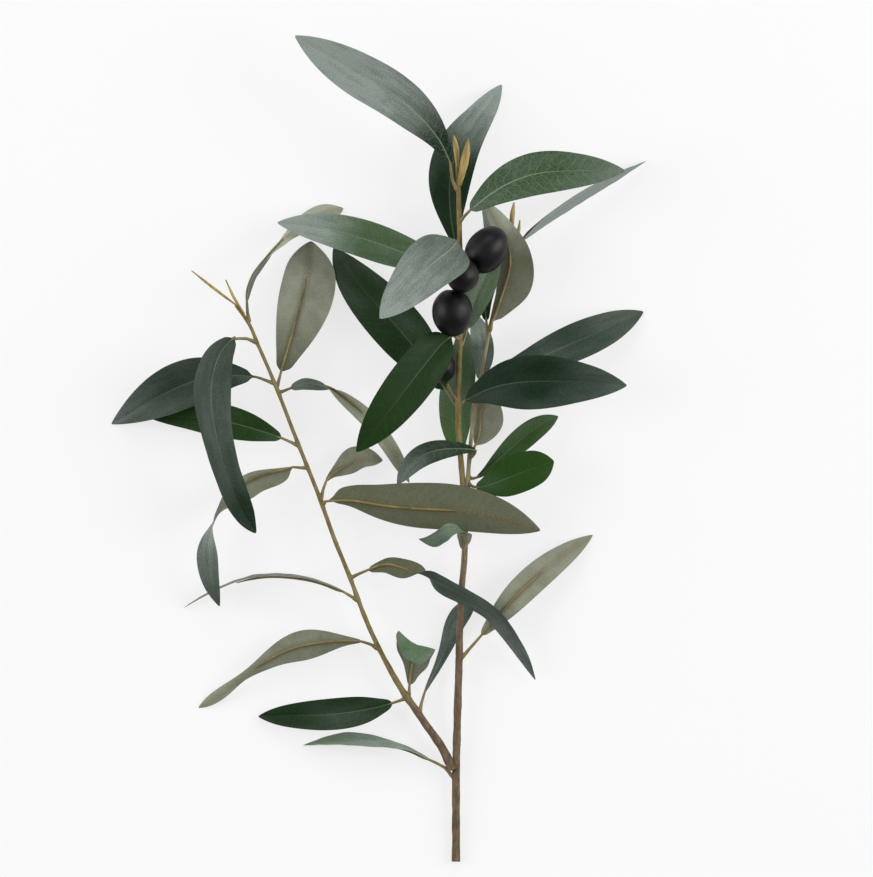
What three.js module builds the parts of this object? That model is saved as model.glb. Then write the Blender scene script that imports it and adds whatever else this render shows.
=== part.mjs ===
// A cut olive spray with fruit, lying on a flat surface. Millimetres, +Z up.
// The spray is laid out from the cut end of its main stem at 0, 0, pointing along +Y with +X to its
// right, seen from above. It rests on that cut end and on the tips of its outer leaves.
import * as THREE from "three";

// Driving dimensions.
const GAP = 0.35; // air between a stalk's foot and the stem that it grows from
const STEM_SIDES = 8;
const STEM_STEP = 12; // length of stem between two rings
const UPPER_SIDES = 4; // of a blade's ten sides, those on its upper face
const STALK_RADIUS = 0.8; // leaf stalk
const FOOT_RADIUS = 0.95; // leaf stalk where it meets the stem
const BLADE_THICKNESS = 0.5;
const RIB_HEIGHT = 0.7; // moulded midrib that stands out of a blade's underside
const RIB_WIDTH = 1.6;
const BLADE_STATIONS = [0.03, 0.1, 0.2, 0.32, 0.45, 0.58, 0.7, 0.82, 0.93];
const STALK_STATIONS = [0.35, 0.75]; // shares of the stalk's length
const FORM_KNOTS = [0, 0.1, 0.3, 0.5, 0.7, 0.9, 1]; // shares of the blade's length
const LANCE_FORM = [0.55, 0.93, 1, 0.85, 0.45]; // shares of the widest half width at the inner knots
const CURVE_DIVISIONS = 400; // steps used to measure along a curve
const OLIVE_SEGMENTS = 16;
const OLIVE_RINGS = 10;
const FRUIT_STALK_RADIUS = 0.6;

// Stem axes, from foot to tip: x, y, z and diameter.
const MAIN_STEM = [
  [0, 0, 2.04, 4.1],
  [0.2, 49, 5.8, 4.0],
  [1.6, 100, 9.8, 3.7],
  [2.5, 130, 12.3, 3.3],
  [4.6, 160, 15.2, 3.0],
  [3.6, 187, 18.1, 2.8],
  [1.3, 218, 21.3, 2.8],
  [1.8, 262, 25.5, 2.7],
  [2, 304, 29.4, 2.6],
  [0.9, 347.5, 34, 2.2],
];
const LEFT_BRANCH = [
  [-4.4, 53, 6.4, 4.2],
  [-9.3, 60.5, 7.2, 4.1],
  [-18.7, 73.8, 8.6, 3.7],
  [-29.5, 90, 10.2, 2.8],
  [-36.6, 103.2, 11.6, 2.6],
  [-44.2, 119, 13.1, 2.4],
  [-53.8, 144.3, 15.6, 2.2],
  [-60.6, 161, 17.4, 2.2],
  [-68.8, 183.8, 20, 2.0],
  [-79.3, 210.2, 22.8, 1.9],
  [-91.4, 241.3, 26, 1.8],
  [-99.8, 260.6, 28, 1.7],
  [-105.8, 273.6, 29.4, 1.6],
  [-110, 278.3, 30, 1.5],
];
const RIGHT_SHOOT = [
  [6.6, 200, 20, 2.1],
  [9, 224, 22, 2.0],
  [13, 245, 22.5, 1.9],
  [17, 267, 21, 1.8],
  [22, 289, 16.5, 1.7],
  [28, 312, 14.5, 1.5],
];

const leafMaterial = new THREE.MeshStandardMaterial({ color: 0x3c5545, roughness: 0.55 });
const barkMaterial = new THREE.MeshStandardMaterial({ color: 0x8a6a48, roughness: 0.9 });
const shootMaterial = new THREE.MeshStandardMaterial({ color: 0xa5875a, roughness: 0.7 });
const oliveMaterial = new THREE.MeshStandardMaterial({ color: 0x1f1c1f, roughness: 0.4 });

const spray = new THREE.Group();
const stems = {};

const vector = (point) => new THREE.Vector3(point[0], point[1], point[2]);

// A closed solid through rings of points, each ring in the same order, with a point at both ends.
// Its upper and lower sides are split along the same diagonals, so a twisted blade never crosses itself.
function loft(foot, rings, tip) {
  const points = [foot, ...rings.flat(), tip];
  const sides = rings[0].length;
  const last = points.length - 1;
  const at = (ring, side) => 1 + ring * sides + (side % sides);
  const faces = [];
  for (let side = 0; side < sides; side += 1) {
    faces.push(0, at(0, side), at(0, side + 1));
    faces.push(last, at(rings.length - 1, side + 1), at(rings.length - 1, side));
    for (let ring = 1; ring < rings.length; ring += 1) {
      const [a, b] = [at(ring - 1, side), at(ring, side)];
      const [c, d] = [at(ring, side + 1), at(ring - 1, side + 1)];
      if (side < UPPER_SIDES) faces.push(a, b, d, d, b, c);
      else faces.push(a, b, c, a, c, d);
    }
  }
  const geometry = new THREE.BufferGeometry().setFromPoints(points);
  geometry.setIndex(faces);
  geometry.computeVertexNormals();
  return geometry;
}

function addMesh(name, geometry, material) {
  const mesh = new THREE.Mesh(geometry, material);
  mesh.name = name;
  spray.add(mesh);
  return mesh;
}

// The part of an up direction that is square to a tangent.
function squareTo(tangent, up) {
  return up.clone().addScaledVector(tangent, -up.dot(tangent)).normalize();
}

// A ring of [across, up] points about a centre, in the plane square to the tangent.
function ringAt(centre, tangent, up, section) {
  const across = new THREE.Vector3().crossVectors(tangent, up);
  return section.map(([x, z]) =>
    centre.clone().addScaledVector(across, x).addScaledVector(up, z));
}

function circle(radius, sides) {
  return Array.from({ length: sides }, (_, side) => {
    const angle = (side / sides) * Math.PI * 2;
    return [radius * Math.cos(angle), radius * Math.sin(angle)];
  });
}

// Where a stem is at a height y: its centre, direction and radius there.
function stemAt(stem, y) {
  let low = 0;
  let high = 1;
  for (let step = 0; step < 40; step += 1) {
    const middle = (low + high) / 2;
    if (stem.curve.getPoint(middle).y < y) low = middle;
    else high = middle;
  }
  return {
    centre: stem.curve.getPoint(low),
    tangent: stem.curve.getTangent(low),
    radius: stem.radiusAt(low),
  };
}

// Where a piece that grows from a stem towards a point has its foot, just clear of the bark.
function footOn(stem, y, towards) {
  const place = stemAt(stem, y);
  const out = squareTo(place.tangent, towards.clone().sub(place.centre));
  return { out, point: place.centre.clone().addScaledVector(out, place.radius + GAP) };
}

// A round, tapering stem along an axis of [x, y, z, diameter] points, with flat ends.
function addStem(name, axis, footOut, material) {
  const curve = new THREE.CatmullRomCurve3(axis.map(vector), false, "centripetal");
  const radii = axis.map((point) => point[3] / 2);
  const radiusAt = (t) => {
    const place = Math.min(t, 1) * (radii.length - 1);
    const index = Math.min(Math.floor(place), radii.length - 2);
    return THREE.MathUtils.lerp(radii[index], radii[index + 1], place - index);
  };
  const steps = Math.ceil(curve.getLength() / STEM_STEP);
  const rings = [];
  for (let step = 0; step <= steps; step += 1) {
    const t = curve.getUtoTmapping(step / steps);
    const tangent = step === 0 && footOut ? footOut : curve.getTangent(t);
    const up = squareTo(tangent, new THREE.Vector3(0, 0, 1));
    rings.push(ringAt(curve.getPoint(t), tangent, up, circle(radiusAt(t), STEM_SIDES)));
  }
  stems[name] = { curve, radiusAt };
  addMesh(name, loft(curve.getPoint(0), rings, curve.getPoint(1)), material);
}

// A side stem starts flat against the side of the stem that carries it.
function addSideStem(name, axis, carrier, y, material) {
  const foot = footOn(stems[carrier], y, vector(axis[0]));
  const start = [foot.point.x, foot.point.y, foot.point.z, axis[0][3]];
  addStem(name, [start, ...axis], foot.out, material);
}

// The frame along a curve that never twists: the up direction is carried from one station to the next.
function carryUp(up, from, to) {
  const turn = new THREE.Quaternion().setFromUnitVectors(from, to);
  return squareTo(to, up.clone().applyQuaternion(turn));
}

// The blade's half width at a share of its length, from a form: shares of the widest half width at
// FORM_KNOTS, closed to a point at the tip.
function formOf(form, base) {
  const interpolant = new THREE.CubicInterpolant(FORM_KNOTS, [base, ...form, 0], 1);
  return (along) => interpolant.evaluate(along)[0];
}

// Where a blade has its sections. One that twists has another halfway between each two.
function stationsFor(roll) {
  if (roll.length === 1) return BLADE_STATIONS;
  const halfway = BLADE_STATIONS.slice(1).map((along, index) => (along + BLADE_STATIONS[index]) / 2);
  return [...BLADE_STATIONS, ...halfway].sort((first, second) => first - second);
}

// The blade's section: three points along the upper side and five along the underside with its rib.
// Positive across is the blade's right, seen on its upper side with the tip ahead.
function bladeSection(left, right, fold, along) {
  const rise = Math.sin(fold);
  const run = Math.cos(fold);
  const thick = BLADE_THICKNESS / 2;
  const taper = 1 - 0.75 * along;
  const ribHalf = Math.min((RIB_WIDTH / 2) * taper, Math.min(left, right) * 0.3);
  const ribDrop = thick + RIB_HEIGHT * taper;
  const at = (across, offset) => [across * run, Math.abs(across) * rise + offset];
  return [
    at(right, 0),
    at(right * 0.5, thick),
    at(0, thick),
    at(-left * 0.5, thick),
    at(-left, 0),
    at(-left * 0.5, -thick),
    at(-ribHalf, -thick),
    at(0, -ribDrop),
    at(ribHalf, -thick),
    at(right * 0.5, -thick),
  ];
}

// A round stalk with its points in the same order as the blade's section.
function stalkSection(radius) {
  const degrees = [0, 45, 90, 135, 180, 218, 248, 270, 292, 322];
  return degrees.map((degree) => {
    const angle = THREE.MathUtils.degToRad(degree);
    return [radius * Math.cos(angle), radius * Math.sin(angle)];
  });
}

// Reads a list of values spread evenly from 0 to 1.
function spread(values, t) {
  if (values.length === 1) return values[0];
  const place = t * (values.length - 1);
  const index = Math.min(Math.floor(place), values.length - 2);
  const eased = THREE.MathUtils.smoothstep(place - index, 0, 1);
  return THREE.MathUtils.lerp(values[index], values[index + 1], eased);
}

// A leaf on a stem: its stalk's foot is at height y, and rib runs from the blade's base to its tip.
// width is the widest; form and base give its outline. From base to tip, lean is the share of width
// that moves from the right half to the left, and roll turns the blade about its rib, in degrees:
// 0 shows the upper side, 180 the underside. fold lifts both halves towards the upper side, by one
// angle or by a list of them from base to tip.
function addLeaf(name, carrier, y, rib, look) {
  const { width, form = LANCE_FORM, base = 0.2, lean = [0], roll = [0], fold = 10, stalk = [] } = look;
  const foot = footOn(stems[carrier], y, vector(stalk[0] || rib[0]));
  const points = [foot.point, ...stalk.map(vector), ...rib.map(vector)];
  const curve = new THREE.CatmullRomCurve3(points, false, "centripetal");
  curve.arcLengthDivisions = CURVE_DIVISIONS;
  const lengths = curve.getLengths();
  const baseIndex = Math.round(((stalk.length + 1) / (points.length - 1)) * CURVE_DIVISIONS);
  const bladeStart = lengths[baseIndex] / lengths[CURVE_DIVISIONS];
  const baseTangent = curve.getTangentAt(bladeStart);
  const baseUp = squareTo(baseTangent, new THREE.Vector3(0, 0, 1));
  const rollBy = (up, tangent, along) =>
    up.clone().applyAxisAngle(tangent, THREE.MathUtils.degToRad(spread(roll, along)));

  const stalkRings = [];
  let tangent = baseTangent;
  let up = rollBy(baseUp, baseTangent, 0);
  for (const share of [...STALK_STATIONS].reverse()) {
    const next = curve.getTangentAt(bladeStart * share);
    up = carryUp(up, tangent, next);
    tangent = next;
    const centre = curve.getPointAt(bladeStart * share);
    stalkRings.unshift(ringAt(centre, tangent, up, stalkSection(STALK_RADIUS)));
  }
  up = carryUp(up, tangent, foot.out);
  stalkRings.unshift(ringAt(foot.point, foot.out, up, stalkSection(FOOT_RADIUS)));

  const shareAt = formOf(form, base);
  const folds = [fold].flat();
  const bladeRings = [];
  tangent = baseTangent;
  up = baseUp;
  for (const along of stationsFor(roll)) {
    const share = bladeStart + (1 - bladeStart) * along;
    const next = curve.getTangentAt(share);
    up = carryUp(up, tangent, next);
    tangent = next;
    const half = Math.max((width / 2) * shareAt(along), STALK_RADIUS);
    const shift = spread(lean, along);
    const foldAngle = THREE.MathUtils.degToRad(spread(folds, along));
    const section = bladeSection(half * (1 + shift), half * (1 - shift), foldAngle, along);
    bladeRings.push(ringAt(curve.getPointAt(share), tangent, rollBy(up, tangent, along), section));
  }
  const rings = [...stalkRings, ...bladeRings];
  addMesh(name, loft(foot.point, rings, curve.getPointAt(1)), leafMaterial);
}

// A pointed, round bud through its points, widest halfway up.
function addBud(name, axis, diameter, footOut) {
  const curve = new THREE.CatmullRomCurve3(axis, false, "centripetal");
  const shape = [[0, 0.55], [0.22, 0.82], [0.46, 1], [0.68, 0.93], [0.86, 0.58]];
  let tangent = footOut || curve.getTangentAt(0);
  let up = squareTo(tangent, new THREE.Vector3(0, 0, 1));
  const rings = shape.map(([share, size]) => {
    const next = share === 0 ? tangent : curve.getTangentAt(share);
    up = carryUp(up, tangent, next);
    tangent = next;
    return ringAt(curve.getPointAt(share), tangent, up, circle((diameter / 2) * size, STEM_SIDES));
  });
  addMesh(name, loft(axis[0], rings, axis[axis.length - 1]), shootMaterial);
}

// A bud that stands beside the stem at a height.
function addSideBud(name, carrier, y, points, diameter) {
  const foot = footOn(stems[carrier], y, vector(points[0]));
  addBud(name, [foot.point, ...points.map(vector)], diameter, foot.out);
}

// An olive with its long axis from its stalk end towards its blossom end.
function addOlive(name, centre, direction, length, diameter) {
  const profile = Array.from({ length: OLIVE_RINGS + 1 }, (_, ring) => {
    const angle = (ring / OLIVE_RINGS) * Math.PI;
    const swell = 1 + 0.05 * Math.cos(angle);
    const radius = ring === 0 || ring === OLIVE_RINGS ? 0 : (diameter / 2) * Math.sin(angle) * swell;
    return new THREE.Vector2(radius, (-length / 2) * Math.cos(angle));
  });
  const geometry = new THREE.LatheGeometry(profile, OLIVE_SEGMENTS);
  const mesh = addMesh(name, geometry, oliveMaterial);
  mesh.position.copy(vector(centre));
  mesh.quaternion.setFromUnitVectors(new THREE.Vector3(0, 1, 0), vector(direction).normalize());
}

// A fruit stalk from a stem through its points, ending just clear of its olive.
function addFruitStalk(name, carrier, y, points) {
  const foot = footOn(stems[carrier], y, vector(points[0]));
  const curve = new THREE.CatmullRomCurve3([foot.point, ...points.map(vector)]);
  const steps = 4;
  const rings = [];
  for (let step = 0; step <= steps; step += 1) {
    const share = step / steps;
    const tangent = step === 0 ? foot.out : curve.getTangentAt(share);
    const up = squareTo(tangent, new THREE.Vector3(0, 1, 0.01));
    rings.push(ringAt(curve.getPointAt(share), tangent, up, circle(FRUIT_STALK_RADIUS, STEM_SIDES)));
  }
  addMesh(name, loft(foot.point, rings, curve.getPointAt(1)), shootMaterial);
}

addStem("main_stem", MAIN_STEM, null, barkMaterial);
addSideStem("left_branch", LEFT_BRANCH, "main_stem", 47.5, barkMaterial);
addSideStem("right_shoot", RIGHT_SHOOT, "main_stem", 184, shootMaterial);

// Crown leaves, round the tip of the main stem.
addLeaf("crown_leaf_1", "main_stem", 337,
  [[-1.6, 348.5, 40], [-10, 363.5, 45], [-28, 381.5, 49], [-52, 395.5, 50], [-81, 413, 47]],
  { width: 24, form: [0.36, 0.86, 1, 0.93, 0.48], base: 0.13, stalk: [[-2.2, 343, 35.8]] });
addLeaf("crown_leaf_2", "main_stem", 302.5,
  [[-0.5, 309, 25], [-2.6, 323, 23.5], [-3.4, 341.5, 21.5], [0.4, 356, 19], [7, 366, 16],
    [14, 375.6, 10], [23.3, 389.5, 0]],
  { width: 23.5, form: [0.42, 0.92, 1, 0.68, 0.38], fold: 8 });
addLeaf("crown_leaf_3", "main_stem", 321,
  [[6.5, 325.5, 37], [12, 329.8, 39], [22, 337, 41.5], [38, 343.8, 43], [58, 345.4, 43], [85, 345.4, 39]],
  { width: 22.8, form: [0.44, 0.88, 1, 0.8, 0.42], roll: [-6] });
addLeaf("crown_leaf_4", "right_shoot", 302,
  [[33.5, 311.4, 14.5], [46, 322.4, 15], [60, 332.2, 13.5], [72, 339.4, 10.5], [85, 345.8, 6], [96, 351, 0]],
  { width: 16, form: [0.55, 0.93, 1, 0.8, 0.32], roll: [72] });
addLeaf("crown_leaf_5", "main_stem", 298.5,
  [[-5, 300.5, 29], [-15, 301.5, 29], [-27, 304.8, 29], [-40, 309.7, 28.5], [-54, 314, 27.5],
    [-70, 317.5, 25.5], [-90, 319.7, 22]],
  { width: 19.5, form: [0.6, 0.95, 1, 0.86, 0.45], fold: 8 });

// Leaves among the fruit.
addLeaf("fruit_leaf_1", "main_stem", 306,
  [[1.6, 310.2, 51], [-0.8, 307.4, 53.5], [-7.4, 302.4, 58], [-17.4, 293.6, 67.5], [-29, 281.5, 77.5],
    [-38.2, 271, 83]],
  { width: 28, form: [0.83, 1, 0.9, 0.69, 0.36], base: 0.25, roll: [12], fold: 6,
    lean: [0.9, 0.1, -0.05, -0.05, -0.05, 0, 0, 0, 0] });
addLeaf("fruit_leaf_2", "main_stem", 262,
  [[-2, 263.5, 30], [-7, 259.5, 31.5], [-14, 250.6, 36], [-24.3, 237.4, 41], [-35, 223.3, 43.5],
    [-50, 204.5, 41]],
  { width: 24, form: [0.8, 1, 1, 0.84, 0.42], base: 0.4, lean: [-0.06] });
addLeaf("fruit_leaf_3", "main_stem", 229,
  [[-5, 236, 19], [-11.4, 244.8, 17], [-22.3, 259.3, 15], [-32.2, 270.8, 13.5], [-42.7, 282, 11.5],
    [-53.8, 295, 8.5], [-61.5, 308, 6]],
  { width: 27, form: [0.5, 0.95, 1, 0.85, 0.45] });
addLeaf("fruit_leaf_4", "main_stem", 197,
  [[1.5, 203, 13], [0, 215, 9], [0.5, 235, 5.5], [4, 255, 4.5], [3, 271, 4]],
  { width: 18, form: [0.6, 0.95, 1, 0.8, 0.4], fold: 8 });
addLeaf("fruit_leaf_5", "main_stem", 259,
  [[6, 267, 23], [9, 280, 23.5], [15, 293, 23.5], [21, 308, 22]],
  { width: 15, fold: 8 });

// Leaves of the right shoot, and those on the right of the main stem.
addLeaf("right_leaf_1", "right_shoot", 267,
  [[18.3, 270, 22.5], [20.8, 278, 21.5], [24.6, 288, 20.5], [27.6, 297, 20], [27.4, 306, 20],
    [22.5, 317, 20], [14, 331, 19]],
  { width: 20.4, form: [0.66, 1, 0.86, 0.6, 0.34], base: 0.3, lean: [0.6, 0.45, 0.3, 0.1, 0],
    roll: [166], fold: 13 });
addLeaf("right_leaf_2", "right_shoot", 236,
  [[12, 241, 18], [13.3, 250, 16], [13, 260, 14], [9, 275, 11]],
  { width: 12 });
addLeaf("right_leaf_3", "right_shoot", 265,
  [[15.3, 270, 17.5], [14.5, 283, 13], [18.5, 300, 10], [18.6, 317, 9], [12.5, 335, 6]],
  { width: 11, base: 0.4 });
addLeaf("right_leaf_4", "right_shoot", 204,
  [[9.9, 208.5, 16.5], [11.8, 215, 14], [12.3, 226, 12], [14.5, 241, 9]],
  { width: 17, form: [0.6, 1, 1, 0.8, 0.4], lean: [0.38], roll: [172], fold: 5 });
addLeaf("right_leaf_5", "main_stem", 229,
  [[4.5, 230.6, 25], [10, 233.8, 28], [16, 236.6, 30.5], [30, 239.8, 34], [48, 240.5, 35.5], [66, 240, 34.5],
    [86, 238.1, 32]],
  { width: 29, form: [0.46, 0.93, 1, 0.76, 0.38], fold: 12 });
addLeaf("right_leaf_6", "right_shoot", 242,
  [[16, 243.8, 22.5], [31, 248.5, 22], [45, 253.5, 20.5], [59, 259.8, 17],
    [68.5, 263.6, 13.5], [80, 268.8, 8], [94.5, 275.5, 0]],
  { width: 19.6, form: [0.3, 0.8, 1, 0.92, 0.5] });
addLeaf("right_leaf_7", "right_shoot", 192,
  [[10, 191.5, 17], [18.8, 199, 17], [31, 209.8, 15.5], [40.2, 217.2, 13], [51.6, 223, 9]],
  { width: 12, form: [0.3, 0.7, 1, 1, 0.62] });
addLeaf("right_leaf_8", "right_shoot", 189,
  [[9.5, 187, 22], [20, 189.6, 23.5], [32, 194.4, 24.5], [41, 197.7, 24.5], [49.3, 200.5, 23.5]],
  { width: 20.4, form: [0.5, 0.88, 1, 0.96, 0.64] });
addLeaf("right_leaf_9", "main_stem", 103,
  [[13.5, 114, 13], [23, 125, 15], [35, 138, 15], [48, 149, 11], [69, 163.7, 0]],
  { width: 15, roll: [180], stalk: [[9, 109, 11.5]] });

// Leaves that cross the main stem.
addLeaf("middle_leaf_1", "left_branch", 179,
  [[-64, 181.4, 22], [-50, 181, 25], [-38, 178.2, 27], [-20, 176.7, 29], [0, 175.9, 30],
    [20, 172.3, 29.5], [43, 165.5, 27]],
  { width: 24.5, form: [0.43, 0.85, 1, 0.9, 0.5], lean: [-0.65, -0.15, -0.12, -0.1, 0], roll: [180],
    fold: 8 });
addLeaf("middle_leaf_2", "right_shoot", 203,
  [[11.5, 206.2, 24.5], [5, 206.6, 27], [-2.6, 206.8, 28.5], [-9, 206.2, 29], [-16, 204, 28],
    [-22.5, 199, 26.5], [-29.5, 188.3, 23.5]],
  { width: 12, form: [0.35, 0.75, 1, 0.9, 0.5], roll: [30] });
addLeaf("middle_leaf_3", "main_stem", 152,
  [[3.6, 156.5, 22], [4.3, 161, 29], [3, 165.6, 35.5], [-3, 166.6, 38.5], [-9, 164.6, 38.5],
    [-14, 162, 38], [-19, 161.6, 36.5]],
  { width: 9.6, form: [0.55, 0.85, 0.75, 0.95, 0.95], base: 0.4, roll: [180, 180, 110, 20, 0],
    lean: [0, 0, 0.1, 0.5, 0.6] });
addLeaf("middle_leaf_4", "left_branch", 142,
  [[-44, 146, 17.5], [-33.5, 148.8, 18.7], [-26, 146.4, 20], [-18.5, 144, 20.8], [-9, 139.6, 20.8],
    [-1, 136.1, 20.8], [10.5, 130, 20.2], [19, 123.8, 18.7], [27.2, 113, 14.8], [34, 102.6, 10],
    [40.2, 90, 5]],
  { width: 13, form: [0.75, 1, 0.86, 0.7, 0.38],
    roll: [152, 154, 156, 148, 92, 44, 42, 38, 36, 34, 32, 30, 28, 26, 24, 20, 18],
    fold: [12, 12, 12, 0, -45, -5, 10, 12, 12, 12, 12, 12, 12, 12, 12, 12, 12] });
addLeaf("middle_leaf_5", "left_branch", 75,
  [[-15.8, 85, 8], [-11.1, 93.5, 7], [-4.7, 107.5, 5.5], [-1.5, 116.8, 5], [1.2, 122.7, 5],
    [10, 131, 5.5]],
  { width: 11, form: [0.24, 0.4, 0.66, 0.95, 0.8], base: 0.15, fold: 5 });

// Leaves of the left branch.
addLeaf("left_leaf_1", "left_branch", 271,
  [[-104.5, 281, 27], [-101, 293, 25], [-94, 302, 22], [-84, 313.5, 17], [-75, 319.8, 11], [-66, 324.3, 5.5],
    [-55.9, 327.2, 0]],
  { width: 13, form: [0.6, 0.55, 0.9, 1, 0.9], roll: [75, 80, 120, 165, 180] });
addLeaf("left_leaf_2", "left_branch", 238,
  [[-87.2, 245.5, 22], [-83.8, 257.5, 20], [-79.7, 271.9, 18], [-77.6, 280.2, 16.5], [-75, 290.5, 14.5],
    [-74, 300, 12], [-72.4, 311, 8]],
  { width: 28, form: [0.38, 0.75, 0.98, 1, 0.68], base: 0.16, lean: [0.14], roll: [180] });
addLeaf("left_leaf_3", "left_branch", 260.5,
  [[-111.8, 263.6, 33], [-117.2, 257.5, 36], [-121, 247, 39], [-122.8, 233, 41.5], [-120.8, 218.6, 42],
    [-117.6, 204, 41.5], [-113.2, 190.5, 39.5], [-107.4, 176, 35.5], [-99.4, 163.8, 30]],
  { width: 22, form: [0.72, 1, 0.78, 0.67, 0.56], base: 0.2 });
addLeaf("left_leaf_4", "left_branch", 240,
  [[-102, 243, 23], [-118, 243, 22], [-133, 240, 19], [-150, 232, 12], [-173, 218.7, 0]],
  { width: 25, form: [0.6, 0.95, 1, 0.78, 0.33], base: 0.3 });
addLeaf("left_leaf_5", "left_branch", 209,
  [[-87, 212, 20], [-100, 216.3, 18], [-115, 220.3, 14], [-130, 222.3, 9.5], [-155, 222.5, 3]],
  { width: 17.5, form: [0.55, 0.93, 1, 0.72, 0.32] });
addLeaf("left_leaf_6", "left_branch", 197.5,
  [[-82, 197, 20], [-92, 194.8, 19], [-104, 190.5, 18], [-115.5, 179, 19], [-120.8, 171, 20.5],
    [-124, 156, 21], [-123, 142, 18.5], [-118, 127, 14]],
  { width: 14, form: [0.66, 0.95, 0.75, 0.85, 0.5], base: 0.55, lean: [-0.75, -0.35, 0, 0, 0],
    roll: [180, 180, 95, 10, 0] });
addLeaf("left_leaf_7", "left_branch", 132,
  [[-55, 134.8, 15.5], [-70, 140.8, 15], [-84, 143, 14], [-100, 143, 11], [-118, 137, 7.2],
    [-137, 126.5, 0]],
  { width: 12, roll: [85] });
addLeaf("left_leaf_8", "left_branch", 108,
  [[-46.2, 110.6, 12.5], [-62, 110.2, 14], [-78, 108.2, 14.5], [-90, 103.8, 13], [-100, 96.5, 10.5],
    [-108.7, 91.3, 7.5], [-118, 83.5, 3.5], [-129.5, 76.5, 0]],
  { width: 17.4, form: [0.3, 1, 0.58, 0.18, 0.43], base: 0.1, roll: [180] });
addLeaf("left_leaf_9", "left_branch", 82.4,
  [[-31.2, 79.4, 10], [-45, 76, 12], [-60, 73.8, 12], [-80, 73, 8], [-99.5, 72.5, 2]],
  { width: 16.4, form: [0.62, 0.98, 1, 0.82, 0.45] });
addLeaf("left_leaf_10", "main_stem", 43,
  [[-14, 51.5, 7], [-20, 54.6, 7.5], [-28, 57.5, 8], [-45, 59.8, 8.5], [-60, 60.5, 6], [-77, 58, 0.5]],
  { width: 14, form: [0.25, 0.55, 1, 0.95, 0.4], roll: [62],
    stalk: [[-5.2, 46.8, 5.6], [-10.6, 49.6, 6.2]] });
addLeaf("left_leaf_11", "left_branch", 83,
  [[-23.2, 88.5, 11], [-22.4, 96, 12.5], [-20.6, 103.5, 14.5], [-19, 108.4, 16.8], [-20.1, 107.8, 20.4],
    [-26.5, 102.4, 21.5]],
  { width: 22, form: [0.24, 0.56, 0.86, 0.95, 0.8], lean: [0.3, 0.3, -0.1, -0.1, -0.1],
    roll: [180, 180, 180, 180, 145, 150], fold: 4 });
addLeaf("left_leaf_12", "left_branch", 234.5,
  [[-83, 236.6, 24], [-75.5, 239.4, 24], [-62.2, 236.2, 22], [-52.5, 229.4, 20], [-42, 219.7, 17],
    [-31.5, 205.3, 14], [-23, 189, 11]],
  { width: 8.8, form: [0.86, 0.83, 1, 0.95, 0.65], base: 0.4, roll: [0, 45, 150, 175, 180, 180, 180] });
addLeaf("left_leaf_13", "left_branch", 182,
  [[-64.8, 191.3, 16], [-57, 196.8, 14], [-47.5, 201.3, 11], [-36.4, 200.8, 8]],
  { width: 13.5, form: [0.25, 0.65, 1, 0.85, 0.5], base: 0.15, lean: [0, -0.1, -0.3, -0.1], roll: [180] });

// Pointed buds at the three tips.
addBud("tip_bud_1", [[0.6, 348.4, 34.1], [0.3, 355, 34.4], [-1, 363, 34.6]].map(vector), 2.9);
addSideBud("tip_bud_2", "main_stem", 339.5, [[3.4, 346, 37.2], [5.2, 354.5, 38.8], [6.2, 361.4, 38.6]], 4.3);
addBud("tip_bud_3", [[28.3, 313.6, 14.6], [28, 320, 15.5], [29, 330, 16.5]].map(vector), 2.6);
addSideBud("tip_bud_4", "right_shoot", 309, [[30.8, 313.5, 17], [32, 321, 18.5]], 1.8);
addBud("tip_bud_5", [[-110.5, 278.9, 30.1], [-120, 286, 31.5], [-132, 295.5, 33]].map(vector), 1.5);
addSideBud("tip_bud_6", "left_branch", 274.5, [[-110, 280.5, 32.4], [-115, 291, 34]], 1.5);

// Black olives and their stalks.
addOlive("olive_1", [15.3, 306, 35], [0.57, 0.82, 0], 25.5, 20);
addOlive("olive_2", [3.2, 293, 46], [-0.1, -1, 0.3], 17.5, 16.5);
addOlive("olive_3", [-1.8, 274.5, 39.5], [0, -1, 0], 24, 20.3);
addOlive("olive_4", [-7.6, 248, 26], [-0.2, 1, 0], 17, 14.6);
addFruitStalk("fruit_stalk_1", "main_stem", 291, [[5, 293, 31], [7.7, 294.6, 34]]);
addFruitStalk("fruit_stalk_2", "main_stem", 299, [[3, 301.5, 36], [3.8, 301.8, 43]]);
addFruitStalk("fruit_stalk_3", "main_stem", 286.5, [[0, 288.5, 35], [-1.6, 287.2, 39]]);
addFruitStalk("fruit_stalk_4", "main_stem", 232, [[-2.5, 235, 25], [-4.3, 238.9, 26]]);

// The origin goes to the middle of the spray's bounding box, on the surface that it lies on.
const bounds = new THREE.Box3().setFromObject(spray, true);
const middle = bounds.getCenter(new THREE.Vector3());
spray.position.set(-middle.x, -middle.y, -bounds.min.z);

export default spray;
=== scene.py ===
import math

import bmesh
import bpy
from mathutils import Matrix, Vector, geometry, noise


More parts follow.
